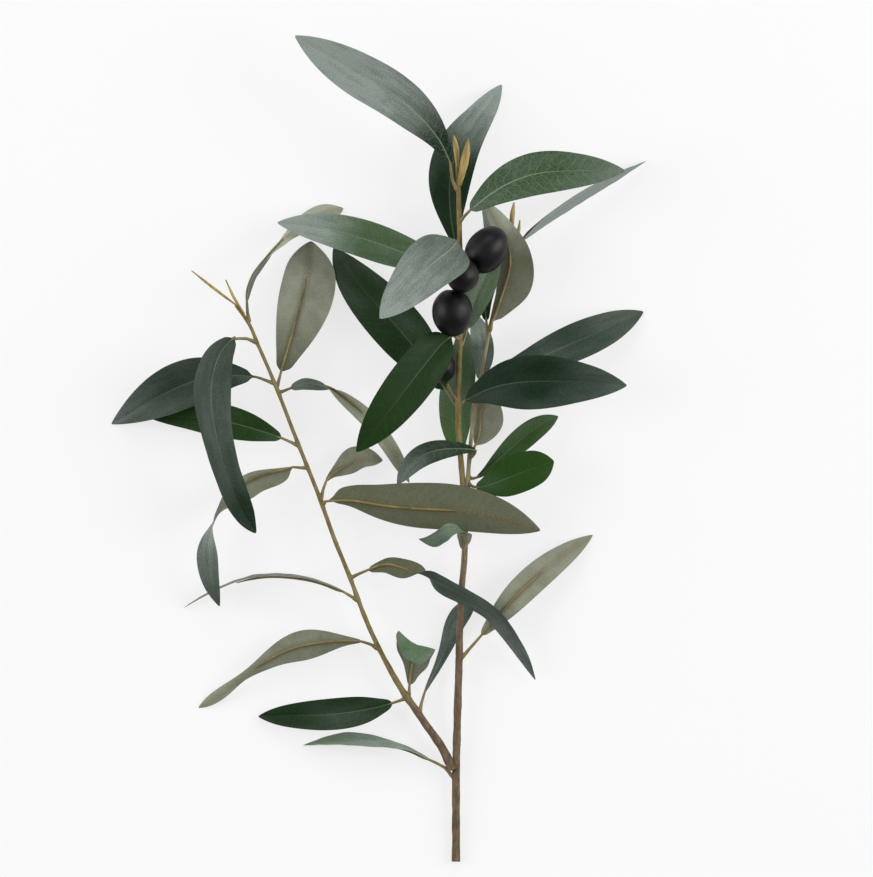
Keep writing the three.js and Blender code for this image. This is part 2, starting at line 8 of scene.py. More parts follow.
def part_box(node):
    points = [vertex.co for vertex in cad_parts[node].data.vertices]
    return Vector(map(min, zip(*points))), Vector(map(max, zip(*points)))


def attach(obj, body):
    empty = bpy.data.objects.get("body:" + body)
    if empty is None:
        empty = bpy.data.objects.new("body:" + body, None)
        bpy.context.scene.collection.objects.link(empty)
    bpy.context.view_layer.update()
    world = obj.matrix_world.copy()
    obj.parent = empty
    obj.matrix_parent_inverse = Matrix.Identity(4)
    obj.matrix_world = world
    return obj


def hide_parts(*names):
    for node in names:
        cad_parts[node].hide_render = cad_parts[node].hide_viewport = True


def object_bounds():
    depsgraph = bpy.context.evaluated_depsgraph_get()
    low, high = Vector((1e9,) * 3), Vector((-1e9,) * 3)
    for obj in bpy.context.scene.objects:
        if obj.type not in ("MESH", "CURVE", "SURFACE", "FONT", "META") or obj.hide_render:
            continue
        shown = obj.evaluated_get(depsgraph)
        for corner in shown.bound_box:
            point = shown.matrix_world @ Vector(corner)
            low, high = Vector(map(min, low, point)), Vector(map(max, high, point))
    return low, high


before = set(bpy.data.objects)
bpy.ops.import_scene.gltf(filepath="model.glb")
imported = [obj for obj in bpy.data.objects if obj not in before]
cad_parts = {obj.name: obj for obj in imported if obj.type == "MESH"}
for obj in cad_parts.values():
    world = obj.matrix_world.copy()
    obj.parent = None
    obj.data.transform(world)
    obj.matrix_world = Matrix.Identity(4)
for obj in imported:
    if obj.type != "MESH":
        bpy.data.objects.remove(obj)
cadLow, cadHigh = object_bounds()
mm = 0.001

# The camera looks straight down on the lying spray.
camera = dict(lens=900, frameSize=0.4385, focusHeight=0.02, right=0.0288, up=0.0053, clipEnd=60)


def addCamera():
    data = bpy.data.cameras.new("camera")
    data.lens = camera["lens"]
    data.clip_end = camera["clipEnd"]
    made = bpy.data.objects.new("camera", data)
    distance = camera["frameSize"] * camera["lens"] / data.sensor_width
    made.location = (camera["right"], camera["up"], cadLow.z + camera["focusHeight"] + distance)
    bpy.context.scene.collection.objects.link(made)
    bpy.context.scene.camera = made
    print("camera", round(distance, 2), "m above the spray")


addCamera()


def wire(tree, kind, inputs=(), out=0, **settings):
    made = tree.nodes.new("ShaderNode" + kind)
    for name, value in settings.items():
        setattr(made, name, value)
    pairs = inputs.items() if isinstance(inputs, dict) else enumerate(inputs)
    for place, value in pairs:
        if isinstance(value, bpy.types.NodeSocket):
            tree.links.new(value, made.inputs[place])
        elif value is not None:
            made.inputs[place].default_value = value
    return made.outputs[out]


def calc(tree, operation, *values):
    return wire(tree, "Math", values, operation=operation)


def strongest(tree, first, second):
    return calc(tree, "MAXIMUM", first, second)


def scaled(tree, value, amount):
    return calc(tree, "MULTIPLY", value, amount)


def remap(tree, value, low, high, toLow=0.0, toHigh=1.0):
    return wire(tree, "MapRange", [value, low, high, toLow, toHigh], interpolation_type="SMOOTHSTEP")


def blend(tree, share, first, second, mode="MIX"):
    mixed = tree.nodes.new("ShaderNodeMix")
    mixed.data_type = "RGBA"
    mixed.blend_type = mode
    sockets = {0: share, 6: first, 7: second}
    for place, value in sockets.items():
        if isinstance(value, bpy.types.NodeSocket):
            tree.links.new(value, mixed.inputs[place])
        elif isinstance(value, tuple):
            mixed.inputs[place].default_value = (*value, 1.0)
        else:
            mixed.inputs[place].default_value = value
    return mixed.outputs[2]


def speckle(tree, vector, scale, detail=3.0, roughness=0.55, stretch=None):
    if stretch:
        vector = wire(tree, "Mapping", {"Vector": vector, "Scale": stretch})
    settings = {"Vector": vector, "Scale": scale, "Detail": detail, "Roughness": roughness}
    return wire(tree, "TexNoise", settings)


def startMaterial(name, roughness, **sockets):
    made = bpy.data.materials.new(name)
    made.use_nodes = True
    shader = made.node_tree.nodes["Principled BSDF"]
    shader.inputs["Roughness"].default_value = roughness
    for socket, value in sockets.items():
        shader.inputs[socket.replace("_", " ")].default_value = value
    return made, made.node_tree, shader


def addBump(tree, shader, height, strength, distance):
    bump = wire(tree, "Bump", {"Strength": strength, "Distance": distance, "Height": height})
    tree.links.new(bump, shader.inputs["Normal"])


# The upper side's colours, gloss and bump, and how strongly each kind of vein shows. Its grey-green film is
# partly painted sheen.
# cloud, streak and grain are how fine each noise is, in waves to the centimetre. Each of the film's amounts
# is the stretch of its noise that counts, and what the film and its painted sheen are multiplied by at both
# ends of it.
upperFinish = dict(
    dark=(0.0038, 0.0145, 0.0062), bright=(0.019, 0.064, 0.001), bloomAndSheen=(0.222, 0.262, 0.236),
    vein=(0.21, 0.265, 0.20), midrib=(0.27, 0.32, 0.20), lateral=0.62, net=0.24, fineNet=0.20, shine=0.1,
    roughness=(0.36, 0.5), bump=(0.35, 0.0004), cloud=0.9, filmAndSheenCloud=(0.25, 0.7, 0.84, 1.08), streak=1.0,
    streakStretch=(0.45, 3.2, 1.0), filmAndSheenStreak=(0.3, 0.7, 0.78, 1.22), grain=14.0,
    filmAndSheenGrain=(0.32, 0.68, 0.80, 1.16), grainShade=(0.84, 1.16))
# The underside's, in the same way. Its painted shade runs along the rib, where the rib's shadow falls on
# the blade.
underFinish = dict(
    dark=(0.053, 0.060, 0.028), pale=(0.315, 0.333, 0.255), ribShade=(0.12, 0.082, 0.03), ribShadeShare=0.28,
    vein=(0.32, 0.32, 0.25), lateral=0.09, net=0.05, shine=0.12, roughness=0.75, bump=(0.3, 0.0003),
    cloud=1.1, paleCloud=(0.25, 0.75, 0.8, 1.15), grain=11.0, grainShade=(0.82, 1.16))
# The veins' layout, in centimetres of blade. The two meshes and the noises are counted per centimetre.
# midribFade is the stretch of the blade on which the midrib fades, and its strength at both ends of it.
leafVeins = dict(lateralStep=0.27, lateralSlope=0.8, lateralWidth=0.03, sideShift=0.21, swing=0.75,
                 swingSize=1.3, wander=0.22, wanderSize=3.0, mesh=3.6, meshWidth=0.10, fineMesh=8.0,
                 fineWidth=0.13, midribFoot=0.045, midribTip=0.014, midribCore=0.3,
                 midribFade=(0.25, 1.0, 0.75, 0.15), midribLeast=0.15)


def leafPattern(tree):
    # u runs along the blade and v across it, both in centimetres from the blade's base and midrib.
    leafMap = wire(tree, "UVMap", uv_map="leafMap")
    swing = speckle(tree, leafMap, leafVeins["swingSize"], detail=2.0)
    apart = tree.nodes.new("ShaderNodeSeparateXYZ")
    tree.links.new(leafMap, apart.inputs[0])
    u, v = apart.outputs[0], apart.outputs[1]
    away = calc(tree, "ABSOLUTE", v)
    side = scaled(tree, calc(tree, "GREATER_THAN", v, 0.0), leafVeins["sideShift"])
    slant = calc(tree, "SUBTRACT", u, scaled(tree, away, leafVeins["lateralSlope"]))
    swing = scaled(tree, swing, leafVeins["swing"])
    slant = calc(tree, "ADD", calc(tree, "ADD", slant, side), swing)
    toVein = calc(tree, "PINGPONG", slant, leafVeins["lateralStep"])
    lateral = remap(tree, toVein, 0.0, leafVeins["lateralWidth"], 1.0, 0.0)
    settings = {"Vector": leafMap, "Scale": leafVeins["wanderSize"], "Detail": 2.0}
    wander = wire(tree, "TexNoise", settings, out=1)
    wander = wire(tree, "VectorMath", {0: wander, "Scale": leafVeins["wander"]}, operation="SCALE")
    bent = wire(tree, "VectorMath", {0: wander, 1: leafMap}, operation="ADD")
    net = veinNet(tree, bent, leafVeins["mesh"], leafVeins["meshWidth"])
    fineNet = veinNet(tree, bent, leafVeins["fineMesh"], leafVeins["fineWidth"])
    return leafMap, away, lateral, net, fineNet


def veinNet(tree, place, meshes, width):
    cells = wire(tree, "TexVoronoi", {"Vector": place, "Scale": meshes}, feature="DISTANCE_TO_EDGE")
    return remap(tree, cells, 0.0, width, 1.0, 0.0)


def leafTones(tree):
    # The grey film with its painted sheen, the green's brightness, partly painted light, the underside's
    # paleness, partly painted shade, and the veins' strength.
    tone = tree.nodes.new("ShaderNodeAttribute")
    tone.attribute_name = "leafTone"
    channels = tree.nodes.new("ShaderNodeSeparateColor")
    tree.links.new(tone.outputs["Color"], channels.inputs[0])
    return [*channels.outputs, tone.outputs["Alpha"]]


def leafAlong(tree):
    share = tree.nodes.new("ShaderNodeAttribute")
    share.attribute_name = "leafShare"
    return share.outputs["Fac"]


def shaded(tree, colour, value, low, high):
    shade = remap(tree, value, 0.28, 0.74, low, high)
    return blend(tree, 1.0, colour, wire(tree, "CombineColor", [shade, shade, shade]), mode="MULTIPLY")


def makeLeafUpper():
    look = upperFinish
    made, tree, shader = startMaterial("leafUpper", 0.4, Specular_IOR_Level=look["shine"])
    leafMap, away, lateral, net, fineNet = leafPattern(tree)
    bloomAndSheen, lift, _, veining = leafTones(tree)
    cloud = speckle(tree, leafMap, look["cloud"], detail=4.0)
    streak = speckle(tree, leafMap, look["streak"], detail=3.0, stretch=look["streakStretch"])
    grain = speckle(tree, leafMap, look["grain"], detail=4.0, roughness=0.7)
    # The green's brightness is partly painted light: some leaves that other parts shade are made brighter.
    green = blend(tree, lift, look["dark"], look["bright"])
    green.node.clamp_factor = False
    # Painted sheen: the grey film is laid on more thickly where highlights fall, leaf by leaf, in clouds
    # and lengthwise streaks.
    filmAndSheen = scaled(tree, bloomAndSheen, remap(tree, cloud, *look["filmAndSheenCloud"]))
    filmAndSheen = scaled(tree, filmAndSheen, remap(tree, streak, *look["filmAndSheenStreak"]))
    filmAndSheen = scaled(tree, filmAndSheen, remap(tree, grain, *look["filmAndSheenGrain"]))
    colour = blend(tree, filmAndSheen, green, look["bloomAndSheen"])
    veins = strongest(tree, scaled(tree, lateral, look["lateral"]), scaled(tree, net, look["net"]))
    veins = strongest(tree, veins, scaled(tree, fineNet, look["fineNet"]))
    colour = blend(tree, scaled(tree, veins, veining), colour, look["vein"])
    thin = remap(tree, leafAlong(tree), 0.0, 1.0, leafVeins["midribFoot"], leafVeins["midribTip"])
    midrib = remap(tree, away, scaled(tree, thin, leafVeins["midribCore"]), thin, 1.0, 0.0)
    fading = remap(tree, leafAlong(tree), *leafVeins["midribFade"])
    fading = scaled(tree, fading, calc(tree, "ADD", veining, leafVeins["midribLeast"]))
    colour = blend(tree, scaled(tree, midrib, fading), colour, look["midrib"])
    colour = shaded(tree, colour, grain, *look["grainShade"])
    tree.links.new(colour, shader.inputs["Base Color"])
    tree.links.new(remap(tree, cloud, 0.3, 0.7, *look["roughness"]), shader.inputs["Roughness"])
    height = calc(tree, "ADD", scaled(tree, veins, -2.0), scaled(tree, grain, 0.4))
    addBump(tree, shader, height, *look["bump"])
    return made


def makeLeafUnder():
    look = underFinish
    made, tree, shader = startMaterial("leafUnder", look["roughness"], Specular_IOR_Level=look["shine"])
    leafMap, away, lateral, net, _ = leafPattern(tree)
    pale = leafTones(tree)[2]
    cloud = speckle(tree, leafMap, look["cloud"], detail=5.0)
    grain = speckle(tree, leafMap, look["grain"], detail=5.0, roughness=0.75)
    # The underside's paleness is partly painted shade: some undersides are made darker as if they lay in
    # shade.
    patchy = scaled(tree, pale, remap(tree, cloud, *look["paleCloud"]))
    colour = blend(tree, patchy, look["dark"], look["pale"])
    # Painted shade: the blade is darkened towards brown beside the rib, where the rib's shadow falls.
    ribShade = scaled(tree, remap(tree, away, 0.05, 0.3, 1.0, 0.0), look["ribShadeShare"])
    colour = blend(tree, ribShade, colour, look["ribShade"])
    veins = strongest(tree, scaled(tree, lateral, look["lateral"]), scaled(tree, net, look["net"]))
    colour = blend(tree, veins, colour, look["vein"])
    colour = shaded(tree, colour, grain, *look["grainShade"])
    tree.links.new(colour, shader.inputs["Base Color"])
    addBump(tree, shader, calc(tree, "ADD", veins, scaled(tree, grain, 0.5)), *look["bump"])
    return made


# From here on, the noises are in waves to the metre.
caneFinish = dict(brown=(0.098, 0.075, 0.026), gold=(0.185, 0.145, 0.045), pale=(0.34, 0.28, 0.13),
                  cloud=60.0, streak=260.0, streakShare=0.5, roughness=0.5, bump=(0.25, 0.0003))


def makeRibCane():
    made, tree, shader = startMaterial("ribCane", caneFinish["roughness"])
    where = wire(tree, "TexCoord", out=3)
    streak = speckle(tree, where, caneFinish["streak"], detail=4.0)
    cloud = speckle(tree, where, caneFinish["cloud"], detail=2.0)
    colour = blend(tree, remap(tree, cloud, 0.3, 0.7), caneFinish["brown"], caneFinish["gold"])
    paleStreak = scaled(tree, remap(tree, streak, 0.45, 0.8), caneFinish["streakShare"])
    colour = blend(tree, paleStreak, colour, caneFinish["pale"])
    tree.links.new(colour, shader.inputs["Base Color"])
    addBump(tree, shader, streak, *caneFinish["bump"])
    return made


# The brown tape ends at tapeEnd and the bare tan stem starts at tanStart, both in metres up the spray.
# wander is how unevenly they end, and each fade is the stretch on which one gives way to the next.
barkFinish = dict(tape=(0.088, 0.060, 0.036), tapePale=(0.175, 0.128, 0.080), grey=(0.15, 0.12, 0.078),
                  tan=(0.13, 0.099, 0.034), tanPale=(0.235, 0.186, 0.082), wander=0.02, tapeFade=0.02,
                  tanFade=(-0.01, 0.02), fibre=420.0, fibreStretch=(1.0, 0.35, 1.0), lump=110.0,
                  roughness=0.85, shine=0.2, bump=(0.6, 0.0006))
mainTape = dict(tapeEnd=-0.075, tanStart=-0.03)
branchTape = dict(tapeEnd=-0.128, tanStart=-0.118)


def makeBark(name, tapeEnd, tanStart):
    look = barkFinish
    made, tree, shader = startMaterial(name, look["roughness"], Specular_IOR_Level=look["shine"])
    where = wire(tree, "TexCoord", out=3)
    apart = tree.nodes.new("ShaderNodeSeparateXYZ")
    tree.links.new(where, apart.inputs[0])
    fibre = speckle(tree, where, look["fibre"], detail=6.0, roughness=0.7, stretch=look["fibreStretch"])
    lump = speckle(tree, where, look["lump"], detail=3.0)
    tape = blend(tree, remap(tree, fibre, 0.35, 0.7), look["tape"], look["tapePale"])
    tan = blend(tree, remap(tree, fibre, 0.3, 0.7), look["tan"], look["tanPale"])
    grey = blend(tree, remap(tree, lump, 0.35, 0.65), look["tapePale"], look["grey"])
    reach = calc(tree, "ADD", apart.outputs[1], scaled(tree, lump, look["wander"]))
    bare = remap(tree, reach, tapeEnd, tapeEnd + look["tapeFade"])
    fadeStart, fadeEnd = look["tanFade"]
    tanned = remap(tree, reach, tanStart + fadeStart, tanStart + fadeEnd)
    tone = blend(tree, tanned, blend(tree, bare, tape, grey), tan)
    tree.links.new(tone, shader.inputs["Base Color"])
    addBump(tree, shader, calc(tree, "ADD", fibre, lump), *look["bump"])
    return made


shootFinish = dict(dark=(0.108, 0.090, 0.038), pale=(0.215, 0.186, 0.095), fibre=300.0, detail=5.0,
                   stretch=(1.0, 0.3, 1.0), roughness=0.6, bump=(0.4, 0.0004))
budFinish = dict(dark=(0.205, 0.135, 0.026), pale=(0.41, 0.30, 0.098), fibre=350.0, detail=4.0,
                 stretch=(1.0, 0.2, 1.0), roughness=0.5, bump=(0.4, 0.0004))


def makeFibrous(name, dark, pale, fibre, detail, stretch, roughness, bump):
    made, tree, shader = startMaterial(name, roughness)
    where = wire(tree, "TexCoord", out=3)
    fibres = speckle(tree, where, fibre, detail, stretch=stretch)
    colour = blend(tree, remap(tree, fibres, 0.3, 0.7), dark, pale)
    tree.links.new(colour, shader.inputs["Base Color"])
    addBump(tree, shader, fibres, *bump)
    return made


oliveFinish = dict(dark=(0.0010, 0.0009, 0.0010), pale=(0.0038, 0.0033, 0.0035), shine=0.24,
                   roughness=(0.37, 0.48), cloud=90.0, fine=1500.0, bump=(0.06, 0.0002))


def makeOliveSkin():
    made, tree, shader = startMaterial("oliveSkin", 0.4, Specular_IOR_Level=oliveFinish["shine"])
    where = wire(tree, "TexCoord", out=3)
    cloud = speckle(tree, where, oliveFinish["cloud"], detail=4.0)
    fine = speckle(tree, where, oliveFinish["fine"], detail=3.0)
    colour = blend(tree, remap(tree, cloud, 0.3, 0.75), oliveFinish["dark"], oliveFinish["pale"])
    tree.links.new(colour, shader.inputs["Base Color"])
    dullness = remap(tree, cloud, 0.3, 0.7, *oliveFinish["roughness"])
    tree.links.new(dullness, shader.inputs["Roughness"])
    addBump(tree, shader, fine, *oliveFinish["bump"])
    return made


leafUpper = makeLeafUpper()
leafUnder = makeLeafUnder()
ribCane = makeRibCane()
mainBark = makeBark("mainBark", **mainTape)
branchBark = makeBark("branchBark", **branchTape)
shoot = makeFibrous("shoot", **shootFinish)
budGold = makeFibrous("budGold", **budFinish)
oliveSkin = makeOliveSkin()
print("finishes made")


def mergedCopy(name):
    bm = bmesh.new()
    bm.from_mesh(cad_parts[name].data)
    bmesh.ops.remove_doubles(bm, verts=bm.verts, dist=1e-6)
    return bm


def middle(points):
    return sum(points, Vector()) / len(points)


def ringsOf(bm, sides, footKey):
    # A lofted solid's rings from foot to tip, all in the same order, and the points that close its ends.
    # Each ring starts at the one column that has a single edge to the ring ahead.
    foot, tip = sorted((v for v in bm.verts if len(v.link_edges) == sides), key=footKey)
    fronts = [set(), {foot}]
    while tip not in fronts[-1]:
        near = {e.other_vert(v) for v in fronts[-1] for e in v.link_edges}
        fronts.append(near - fronts[-1] - fronts[-2])
    rings = []
    for here, ahead in zip(fronts[2:-1], fronts[3:]):
        beside = {}
        for face in {f for v in here for f in v.link_faces}:
            corners = [loop for loop in face.loops if loop.vert in ahead]
            if len(corners) == 1:
                beside[corners[0].link_loop_prev.vert] = corners[0].link_loop_next.vert
        if tip in ahead:
            first = next(e.other_vert(first) for e in first.link_edges if e.other_vert(first) in here)
        else:
            first = next(v for v in here if sum(e.other_vert(v) in ahead for e in v.link_edges) == 1)
        ring = [first]
        while len(ring) < sides:
            ring.append(beside[ring[-1]])
        rings.append(ring)
    return foot, rings, tip


def flatEndKey(pole):
    # The foot closes a flat ring, and the tip stands off its own.
    around = middle([e.other_vert(pole).co for e in pole.link_edges])
    return (pole.co - around).length


def lowEndKey(pole):
    return pole.co.y


def easedPath(points, radii, perSpan):
    # Points and radii on a smooth curve through the ones given.
    eased, widths = [], []
    for index in range(len(points) - 1):
        here, ahead = points[index], points[index + 1]
        before, after = points[max(index - 1, 0)], points[min(index + 2, len(points) - 1)]
        reach = (ahead - here).length / 3
        leave = here + (ahead - before).normalized() * reach
        arrive = ahead - (after - here).normalized() * reach
        eased += geometry.interpolate_bezier(here, leave, arrive, ahead, perSpan + 1)[:-1]
        growth = (radii[index + 1] - radii[index]) / perSpan
        widths += [radii[index] + growth * step for step in range(perSpan)]
    return eased + [points[-1]], widths + [radii[-1]]


def tube(points, radii, sides, perSpan):
    # A round tube: a circle extruded from point to point, turned and scaled on the way, with closed ends.
    points, radii = easedPath(points, radii, perSpan)
    bm = bmesh.new()
    heading = (points[1] - points[0]).normalized()
    facing = heading.to_track_quat("Z", "Y").to_matrix().to_4x4()
    start = Matrix.Translation(points[0]) @ facing
    bmesh.ops.create_circle(bm, cap_ends=True, segments=sides, radius=radii[0], matrix=start)
    edges = list(bm.edges)
    for index in range(1, len(points)):
        onward = (points[min(index + 1, len(points) - 1)] - points[index - 1]).normalized()
        grown = bmesh.ops.extrude_edge_only(bm, edges=edges)["geom"]
        rim = [part for part in grown if isinstance(part, bmesh.types.BMVert)]
        edges = [part for part in grown if isinstance(part, bmesh.types.BMEdge)]
        edges = [edge for edge in edges if set(edge.verts) <= set(rim)]
        turn = heading.rotation_difference(onward).to_matrix().to_4x4()
        grow = Matrix.Scale(radii[index] / radii[index - 1], 4)
        there = Matrix.Translation(points[index]) @ turn @ grow @ Matrix.Translation(-points[index - 1])
        bmesh.ops.transform(bm, matrix=there, verts=rim)
        heading = onward
    bmesh.ops.contextual_create(bm, geom=edges)
    bmesh.ops.recalc_face_normals(bm, faces=bm.faces)
    return bm


sharpAngle = math.radians(70)


def finishPiece(bm, name, materials, slotName, *nodes):
    mesh = bpy.data.meshes.new(name)
    bm.to_mesh(mesh)
    bm.free()
    for polygon in mesh.polygons:
        polygon.use_smooth = True
    mesh.set_sharp_from_angle(angle=sharpAngle)
    for material in materials:
        mesh.materials.append(material)
    piece = bpy.data.objects.new(name, mesh)
    bpy.context.scene.collection.objects.link(piece)
    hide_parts(*nodes)
    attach(piece, "root")


# The grey film's share, which also paints sheen leaf by leaf, and pale, the underside's paleness, which is
# partly painted shade, are each spread from the base to the tip.
# lift is the green's brightness, partly painted light that brightens some shaded leaves, veins how far they
# show, and cane where the rib ends on the underside.
# baseWidth narrows the blade's first rings, and baseReach draws the very first down its stalk.
# These are shares, some over 1 in a few leaves, but ripple and frill are in millimetres.
leafHabit = dict(bloomAndSheen=(0.2, 0.3), lift=0.1, veins=0.25, pale=(0.4, 0.4), cane=0.66,
                 ripple=0.45, frill=0.35, baseWidth=(0.5, 0.92), baseReach=0.85)
leafLooks = {
    "crown_leaf_1": dict(bloomAndSheen=(-0.4, 0.95, 1.2), lift=0.05, veins=0.6),
    "crown_leaf_2": dict(bloomAndSheen=(-0.06, 0.08, 1.5), lift=0.1, veins=0.1),
    "crown_leaf_3": dict(bloomAndSheen=(0.17, 0.13, 0.42), lift=0.6, veins=0.8, baseWidth=(0.6,)),
    "crown_leaf_4": dict(bloomAndSheen=(1.4, 1.4), lift=0.1, veins=0.3),
    "crown_leaf_5": dict(bloomAndSheen=(0.28, 0.24, 1.4), lift=1.0, veins=0.4),
    "fruit_leaf_1": dict(bloomAndSheen=(0.3, 0.66, 1.1), lift=0.1, veins=0.6, baseWidth=(0.75,), baseReach=0.95),
    "fruit_leaf_2": dict(bloomAndSheen=(0.04, -0.08, -0.1), lift=0.33, veins=0.07),
    "fruit_leaf_3": dict(bloomAndSheen=(0.1, 0.0, 0.1), lift=0.25, veins=0.14),
    "fruit_leaf_4": dict(bloomAndSheen=(0.16, 0.36, 0.6), lift=1.8),
    "fruit_leaf_5": dict(bloomAndSheen=(0.44, 0.46), lift=1.6),
    "right_leaf_1": dict(pale=(0.3, 0.24, 1.5), cane=0.6, baseWidth=(0.25, 0.55, 0.78, 0.95)),
    "right_leaf_2": dict(bloomAndSheen=(0.55, 0.35, 2.2), lift=0.2),
    "right_leaf_3": dict(bloomAndSheen=(-0.2, 1.6), lift=0.2),
    "right_leaf_4": dict(pale=(0.38, 0.55, 0.75), cane=0.7, baseWidth=(0.45, 0.75, 0.9)),
    "right_leaf_5": dict(bloomAndSheen=(0.05, 0.02, 0.26), lift=0.06, veins=0.08, baseWidth=(0.4, 0.8, 0.92)),
    "right_leaf_6": dict(bloomAndSheen=(0.18, 0.12, 0.22), lift=0.1, veins=0.12),
    "right_leaf_7": dict(bloomAndSheen=(0.08, 0.12, 0.2), lift=0.7, veins=0.1),
    "right_leaf_8": dict(bloomAndSheen=(0.04, 0.0, 0.04), lift=0.6, veins=0.07, baseWidth=(0.45, 0.72, 0.88)),
    "right_leaf_9": dict(pale=(0.7, 0.62, 0.62), cane=0.6),
    "middle_leaf_1": dict(pale=(0.17, 0.14, 0.18), cane=0.6, frill=0.5, baseWidth=(0.85,), baseReach=0.95),
    "middle_leaf_2": dict(bloomAndSheen=(0.02, 0.1, 0.65), lift=0.15, veins=0.36),
    "middle_leaf_3": dict(bloomAndSheen=(0.4, 0.5), lift=1.3, pale=(0.85, 0.7), frill=0.8),
    "middle_leaf_4": dict(bloomAndSheen=(0.1, 0.28, 0.5), lift=0.05, veins=0.15, pale=(0.1, 0.2), cane=0.2),
    "middle_leaf_5": dict(bloomAndSheen=(0.32, 0.36), lift=0.05, pale=(0.2, 0.2)),
    "left_leaf_1": dict(bloomAndSheen=(0.6, 0.8), pale=(1.5, 1.1, 1.9), cane=0.5),
    "left_leaf_2": dict(pale=(0.05, 0.75, 0.78), cane=0.74, baseWidth=(0.85,), baseReach=1.0),
    "left_leaf_3": dict(bloomAndSheen=(0.14, 0.18, -0.1), lift=0.05, veins=0.15, ripple=1.0),
    "left_leaf_4": dict(bloomAndSheen=(0.16, 0.08, 0.36), lift=0.05, veins=0.14, baseWidth=(0.35, 0.75, 0.9)),
    "left_leaf_5": dict(bloomAndSheen=(0.06, -0.1, 0.0), lift=0.45, veins=0.12),
    "left_leaf_6": dict(bloomAndSheen=(0.6, 1.6, 0.6, 0.1), lift=0.05, pale=(0.45, 0.8), cane=0.3),
    "left_leaf_7": dict(bloomAndSheen=(0.8, 0.5), lift=0.15, pale=(0.9, 1.2)),
    "left_leaf_8": dict(pale=(0.3, 0.45, 0.8), cane=0.62, frill=0.6),
    "left_leaf_9": dict(bloomAndSheen=(0.04, 0.04), lift=0.15, veins=0.08, baseWidth=(0.5, 0.85)),
    "left_leaf_10": dict(bloomAndSheen=(0.9, 0.65, 0.5), lift=1.4),
    "left_leaf_11": dict(bloomAndSheen=(0.34, 0.34), lift=1.3, pale=(0.3, 0.35), cane=0.45),
    "left_leaf_12": dict(bloomAndSheen=(0.4, 0.8, 0.6), lift=0.3, pale=(0.7, 1.1, 0.5), cane=0.5),
    "left_leaf_13": dict(pale=(0.33, 0.4, 0.75), cane=0.55),
}
leafBuild = dict(sides=10, stalkRings=3, levels=3, rimCrease=0.85, foldCrease=0.45)
# Column 0 of a ring is the blade's right rim and column 4 its left rim, with the upper side between them.
# Column 2 is the middle of the upper side and column 7 that of the underside, between the rib's flanks.
upperColumns = range(0, 4)
halfShares = [1.0, 0.5, 0.0, -0.5, -1.0, -0.5, 0.0, 0.0, 0.0, 0.5]
flankSides = {6: -1, 8: 1}


def bladeLayers(bm):
    # How far along and across the blade a point is, its share of the underside, and the way up there.
    floats = bm.verts.layers.float
    vectors = bm.verts.layers.float_vector
    measures = [floats.get(name) or floats.new(name) for name in ("along", "across", "under")]
    return measures + [vectors.get("upward") or vectors.new("upward")]


def joinTriangles(bm, blade):
    # Each pair of triangles between two rings becomes one four-sided face.
    sides = leafBuild["sides"]
    diagonals = []
    for ring, following in zip(blade, blade[1:]):
        for j in range(sides):
            after = (j + 1) % sides
            ends = (ring[after], following[j]) if j in upperColumns else (ring[j], following[after])
            diagonals.append(bm.edges.get(ends))
    bmesh.ops.dissolve_edges(bm, edges=diagonals, use_verts=False)


def drawBack(blade, stalkEnd, look):
    # The blade's first rings narrow, and the very first reaches down its stalk: the base becomes a wedge.
    reach = (stalkEnd - middle([v.co for v in blade[0]])) * look["baseReach"]
    for ring, width in zip(blade, look["baseWidth"]):
        centre = middle([v.co for v in ring])
        sideways = (ring[0].co - ring[4].co).normalized()
        for v in ring:
            v.co -= sideways * (v.co - centre).dot(sideways) * (1 - width)
    for v in blade[0]:
        v.co += reach


def measureBlade(bm, blade, tip):
    along, across, under, upward = bladeLayers(bm)
    travelled = 0.0
    for index, ring in enumerate(blade):
        ribHalf = (ring[6].co - ring[8].co).length / 2
        ring[7].co = (ring[6].co + ring[8].co) / 2
        centre = (ring[2].co + ring[7].co) / 2
        up = (ring[2].co - ring[7].co).normalized()
        if index:
            travelled += (ring[2].co - blade[index - 1][2].co).length
        for j, vert in enumerate(ring):
            rim = ring[0] if halfShares[j] > 0 else ring[4]
            vert[along] = travelled
            vert[across] = halfShares[j] * (rim.co - centre).length + flankSides.get(j, 0) * ribHalf
            vert[under] = 1.0 if j > 4 else 0.0 if 0 < j < 4 else 0.5
            vert[upward] = up
    tip[along] = travelled + (tip.co - blade[-1][2].co).length
    tip[under] = 0.5
    tip[upward] = up
    return tip[along]


def creaseBlade(bm, blade, tip):
    # The rims and the middle line stay firm under the smoothing.
    crease = bm.edges.layers.float["crease_edge"]
    firmness = {0: "rimCrease", 4: "rimCrease", 2: "foldCrease", 7: "foldCrease"}
    for ring, following in zip(blade, blade[1:] + [[tip] * leafBuild["sides"]]):
        for j, kind in firmness.items():
            bm.edges.get((ring[j], following[j]))[crease] = leafBuild[kind]


def markSides(bm, blade, tip):
    # The first material is the upper side's. The second is the underside's and the base's.
    sides = leafBuild["sides"]
    for face in bm.faces:
        face.material_index = 1
    for ring, following in zip(blade, blade[1:] + [[tip] * sides]):
        for j in upperColumns:
            corners = {ring[j], ring[j + 1], following[j], following[j + 1]}
            face = next(f for f in ring[j].link_faces if set(f.verts) == corners)
            face.material_index = 0


